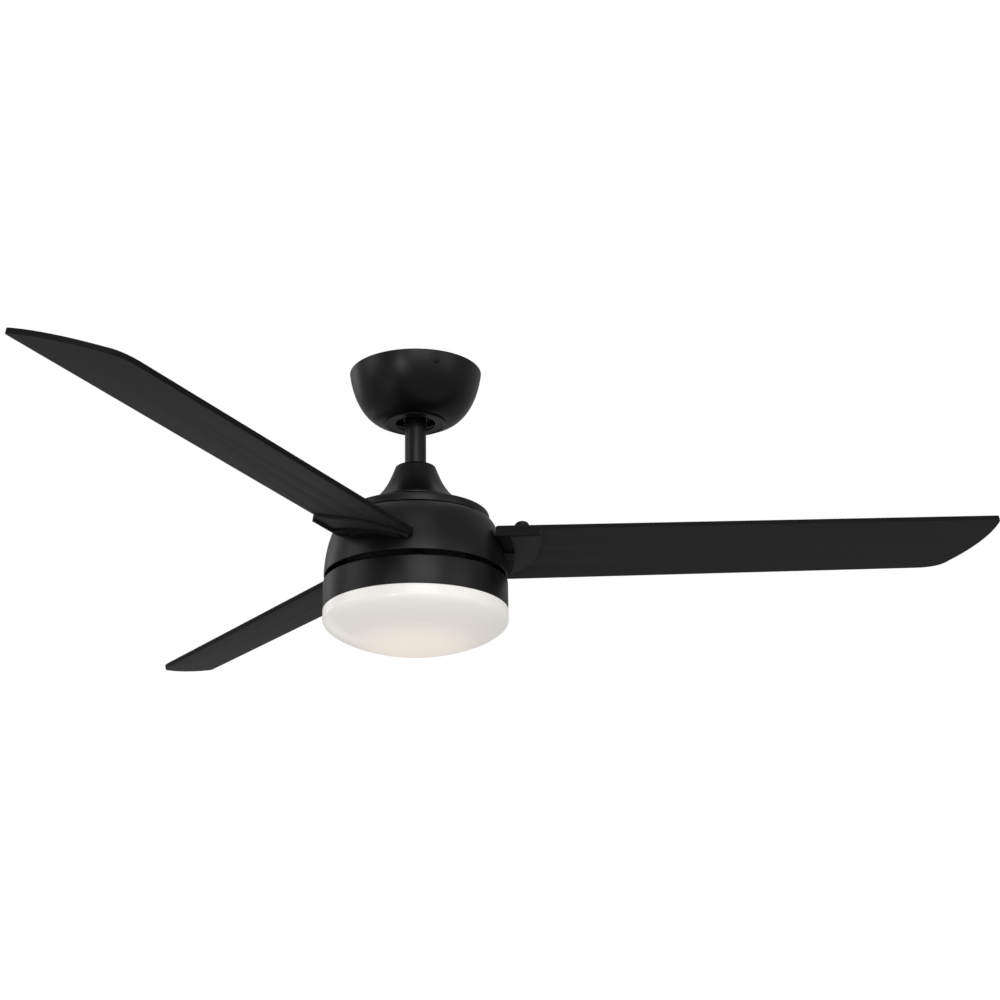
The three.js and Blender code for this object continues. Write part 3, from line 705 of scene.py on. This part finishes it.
def make_blades():
    first = blade_place(0)
    mesh = slab_mesh("blade", blade_outline(), -BLADE_HALF, BLADE_HALF)
    blade = new_object("blade_cut", mesh, first)
    carve(blade, [("DIFFERENCE", dome_envelope())] + drills(first, -30), rounding=0.9)

    iron_top = -BLADE_HALF - GAP
    mesh = slab_mesh("iron", iron_outline(), iron_top - IRON_PLATE, iron_top)
    iron = new_object("iron_cut", mesh, first)
    front, back = -53.4, -50.4
    lip_outline = [(IRON_ROOT, front), (IRON_END, front), (IRON_END, back), (IRON_ROOT, back)]
    lip = slab_mesh("lip", lip_outline, iron_top - IRON_DEPTH, iron_top - 0.5)
    rib = slab_mesh("rib", rib_outline(), iron_top - IRON_DEPTH, iron_top - 0.5)
    tab = block_mesh("tab", (92, 0, TAB_TOP - TAB_THICK / 2), (60, TAB_WIDTH, TAB_THICK))
    tools = [("UNION", new_object("lip", lip, first)), ("UNION", new_object("rib", rib, first))]
    tools += [("DIFFERENCE", dome_envelope())] + drills(first, HOLE_BOTTOM)
    carve(iron, tools + [("UNION", new_object("tab", tab))], rounding=0.7)

    screw = blade_screw_mesh()
    for i in range(BLADE_COUNT):
        place = blade_place(i)
        n = i + 1
        panel = dress(new_object(f"blade_{n}_panel", blade.data.copy(), place),
                      "blade_black", "rotor", f"blade_{n}")
        # The blade's side faces get a darker black as painted shade.
        paint(panel.data, "painted_shade_black", is_painted_shade_edge)
        holder = dress(new_object(f"blade_iron_{n}", iron.data.copy(), place),
                       "housing_black", "rotor", f"blade_bracket_{n}")
        paint(holder.data, "iron_black", is_outer_iron)
        # The rib under the iron's root gets a darker black as painted shade, for the shade
        # between the iron and the dome.
        paint(holder.data, "painted_shade_black", is_painted_shade_rib)
        for j, (out, chord) in enumerate(BLADE_SCREWS, 1):
            seat = place @ Matrix.Translation((out * MM, -chord * MM, 0)) @ turn(37 * j)
            dress(new_object(f"blade_bolt_{n}_{j}", screw.copy(), seat),
                  "screw_black", "rotor", f"blade_screw_{n}_{j}")
    bpy.data.objects.remove(blade)
    bpy.data.objects.remove(iron)


def blade_screw_mesh():
    """A domed bolt on a flange, with a cross recess in its crown."""
    top = BLADE_HALF + GAP
    outline = eased([
        (0, HOLE_BOTTOM + 0.4, 0), (2.9, HOLE_BOTTOM + 0.4, 0.5), (2.9, top, 0.1),
        (9.5, top, 0.4), (9.5, top + 3.4, 3), (8.6, top + 7.4, 3.2), (4.6, top + 9.8, 3),
        (0, top + 9.8, 0),
    ])
    bolt = new_object("bolt", turned_mesh("bolt", outline, COARSE))
    carve(bolt, cross_recess("recess", 3.4, 1.3, top + 6.6, top + 12), rounding=0.15)
    mesh = bolt.data
    bpy.data.objects.remove(bolt)
    return mesh


# ---- light kit ------------------------------------------------------------------------
PAN_WALL = 2
LUG_COUNT = 3
GLASS_NECK = 108.5


def make_light_pan():
    wall = RING_RADIUS - PAN_WALL
    under = RING_TOP - PAN_WALL
    outline = eased([
        (18, RING_TOP, 0.2), (RING_RADIUS, RING_TOP, 2.2), (RING_RADIUS, RING_BOTTOM, 0.6),
        (wall, RING_BOTTOM, 0.3), (wall, under, 1.2), (18, under, 0),
    ])
    pan = new_object("light_pan_spun", turned_mesh("light_pan_spun", outline))
    ledges = []
    for i in range(LUG_COUNT):
        start = 120 * i - 10
        ledge = arc_block(f"ledge_{i}", 109.1, wall + 0.8, -309.4, -307.4, start, start + 28)
        ledges.append(("UNION", ledge))
    dress(carve(pan, ledges), "housing_black", "fan_body", "light_pan")


def make_glass():
    shoulder_top = RING_BOTTOM - 0.5
    neck = GLASS_NECK
    wall = 2.6
    wall_end = (GLASS_RADIUS, -326)
    turn_in = (102.5, -339.3)
    side = eased([(neck, shoulder_top, 0), (GLASS_RADIUS, shoulder_top, 1.4),
                  (*wall_end, 0)])[:-1]
    shoulder = curve(wall_end, (GLASS_RADIUS, -332), (108, -335.4), turn_in, 14)
    bowl = curve(turn_in, (93.3, -345.9), (47.3, GLASS_BOTTOM), (0, GLASS_BOTTOM), 36)
    outer = side + shoulder + bowl[1:]
    inner = inside(shoulder + bowl[1:], wall)
    inner[0] = (0, GLASS_BOTTOM + wall)
    rim = eased([(neck - wall, -322, 0), (neck - wall, -302, 0.8), (neck, -302, 0.8),
                 (neck, shoulder_top, 0)])[:-1]
    glass = new_object("glass_bowl_blown", turned_mesh("glass_bowl_blown", rim + outer + inner))
    lugs = []
    for i in range(LUG_COUNT):
        lug = arc_block(f"lug_{i}", neck - 1.5, 110, -306.9, -303, 120 * i - 5, 120 * i + 5)
        lugs.append(("UNION", lug))
    dress(carve(glass, lugs), "opal_glass", "glass", "glass_bowl")


make_canopy()
make_canopy_screws()
make_bracket_screws()
make_wire_nut()
make_ball_and_rod()
make_covers()
make_dome()
make_blades()
make_light_pan()
make_glass()


# ---- CAD nodes that stay, each with its own finish ------------------------------------
KEPT = {
    # The hanger bracket gets the dark screw finish as painted shade, for the shade inside the
    # canopy under a ceiling.
    "screw_black": ("hanger_bracket",),
    "bare_steel": ("ball_pin", "clevis_pin", "retaining_clip",
                   "yoke_set_screw", "motor_shaft", "bearing_inner_upper",
                   "bearing_inner_lower", "bearing_outer_upper", "bearing_outer_lower",
                   "shaft_nut", "pan_screw_1", "pan_screw_2", "pan_screw_3"),
    # The motor's steel parts take the dark core steel, darkened as painted shade for the gap
    # under the dome.
    "core_steel": ("motor_yoke", "stator_core", "rotor_upper", "rotor_lower", "light_plate"),
    "copper_winding": ("winding_upper", "winding_lower"),
    "magnet": ("magnet_ring",),
    "white_plastic": ("receiver_box", "led_driver", "led_tray"),
    "wire_insulation": ("supply_lead", "lamp_lead"),
    "led_board": ("led_board",),
}
# Rounding of a few of them, in metres.
EASED_EDGES = {"hanger_bracket": 0.0004, "receiver_box": 0.0018, "led_driver": 0.0018}

for finish, names in KEPT.items():
    for name in names:
        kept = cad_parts[name]
        kept.data.materials.clear()
        kept.data.materials.append(FINISHES[finish])
        if name in EASED_EDGES:
            edge = kept.modifiers.new("eased_edges", "BEVEL")
            edge.width = EASED_EDGES[name]
            edge.segments = 3
            edge.limit_method = "ANGLE"


# ---- floor, light and camera -------------------------------------------------------------
def make_floor():
    """A pale floor far below the fan. It looks nearly white, but lights the fan as a grey one."""
    depth, span, thickness = 4850, 120000, 20
    mesh = block_mesh("floor", (0, 0, -depth), (span, span, thickness))
    floor = new_object("floor", mesh)
    material, tree, shader, _ = blank("floor_pale")
    shader.inputs["Base Color"].default_value = (0.80, 0.80, 0.79, 1)
    shader.inputs["Roughness"].default_value = 0.8
    shader.inputs["Emission Color"].default_value = (0.66, 0.66, 0.65, 1)
    path = tree.nodes.new("ShaderNodeLightPath")
    tree.links.new(path.outputs["Is Camera Ray"], shader.inputs["Emission Strength"])
    mesh.materials.append(material)


def softbox(name, location, aim, width, height, radiance):
    """A soft panel of light, as bright as radiance, that the camera doesn't see."""
    light = bpy.data.lights.new(name, "AREA")
    light.shape = "RECTANGLE"
    light.size = width
    light.size_y = height
    light.energy = radiance * math.pi * width * height
    panel = bpy.data.objects.new(name, light)
    bpy.context.scene.collection.objects.link(panel)
    panel.location = location
    panel.rotation_mode = "QUATERNION"
    panel.rotation_quaternion = (Vector(aim) - Vector(location)).to_track_quat("-Z", "Y")
    panel.visible_camera = False


def make_world():
    """A white background for the camera, over a grey one that lights the fan."""
    world = bpy.data.worlds.new("studio")
    bpy.context.scene.world = world
    world.use_nodes = True
    tree = world.node_tree
    tree.nodes.clear()
    seen = node(tree, "ShaderNodeBackground", color=(1, 1, 1, 1), strength=1.0)
    fill = node(tree, "ShaderNodeBackground", color=(1.0, 0.995, 0.985, 1), strength=0.33)
    choice = tree.nodes.new("ShaderNodeMixShader")
    path = tree.nodes.new("ShaderNodeLightPath")
    out = tree.nodes.new("ShaderNodeOutputWorld")
    tree.links.new(path.outputs["Is Camera Ray"], choice.inputs[0])
    tree.links.new(fill.outputs[0], choice.inputs[1])
    tree.links.new(seen.outputs[0], choice.inputs[2])
    tree.links.new(choice.outputs[0], out.inputs["Surface"])


def make_camera():
    lens = bpy.data.cameras.new("camera")
    lens.sensor_width = 36
    lens.lens = 73.94
    lens.shift_x = 0.0845
    camera = bpy.data.objects.new("camera", lens)
    bpy.context.scene.collection.objects.link(camera)
    camera.location = (0, -2.3988, -1.0444)
    camera.rotation_euler = (math.radians(110.03), 0, 0)
    bpy.context.scene.camera = camera


HUB = (0, 0, -0.25)
make_floor()
# Name, place and aim in metres, width, height and radiance.
softbox("left_panel", (-3.2, -0.6, 0.7), HUB, 1.6, 1.4, 1.25)
softbox("left_rear_panel", (-2.3, 1.9, 0.7), HUB, 1.0, 1.2, 0.9)
softbox("right_panel", (2.6, -2.0, 0.3), HUB, 1.8, 1.2, 1.1)
softbox("front_panel", (0.5, -3.0, 0.6), HUB, 2.0, 0.8, 3.7)
softbox("low_left_panel", (-1.25, -2.75, -0.3), HUB, 0.5, 0.4, 12.0)
softbox("high_front_panel", (0.2, -2.3, 2.1), HUB, 1.6, 0.9, 0.8)
softbox("under_left_panel", (-2.4, -1.6, -1.6), HUB, 1.4, 1.0, 0.5)
softbox("low_rear_panel", (-1.5, 3.2, -1.2), HUB, 1.6, 0.8, 0.6)
softbox("top_panel", (0, 0.6, 3.2), HUB, 3.0, 3.0, 0.6)
make_world()
make_camera()
bpy.context.scene.view_settings.view_transform = "Standard"
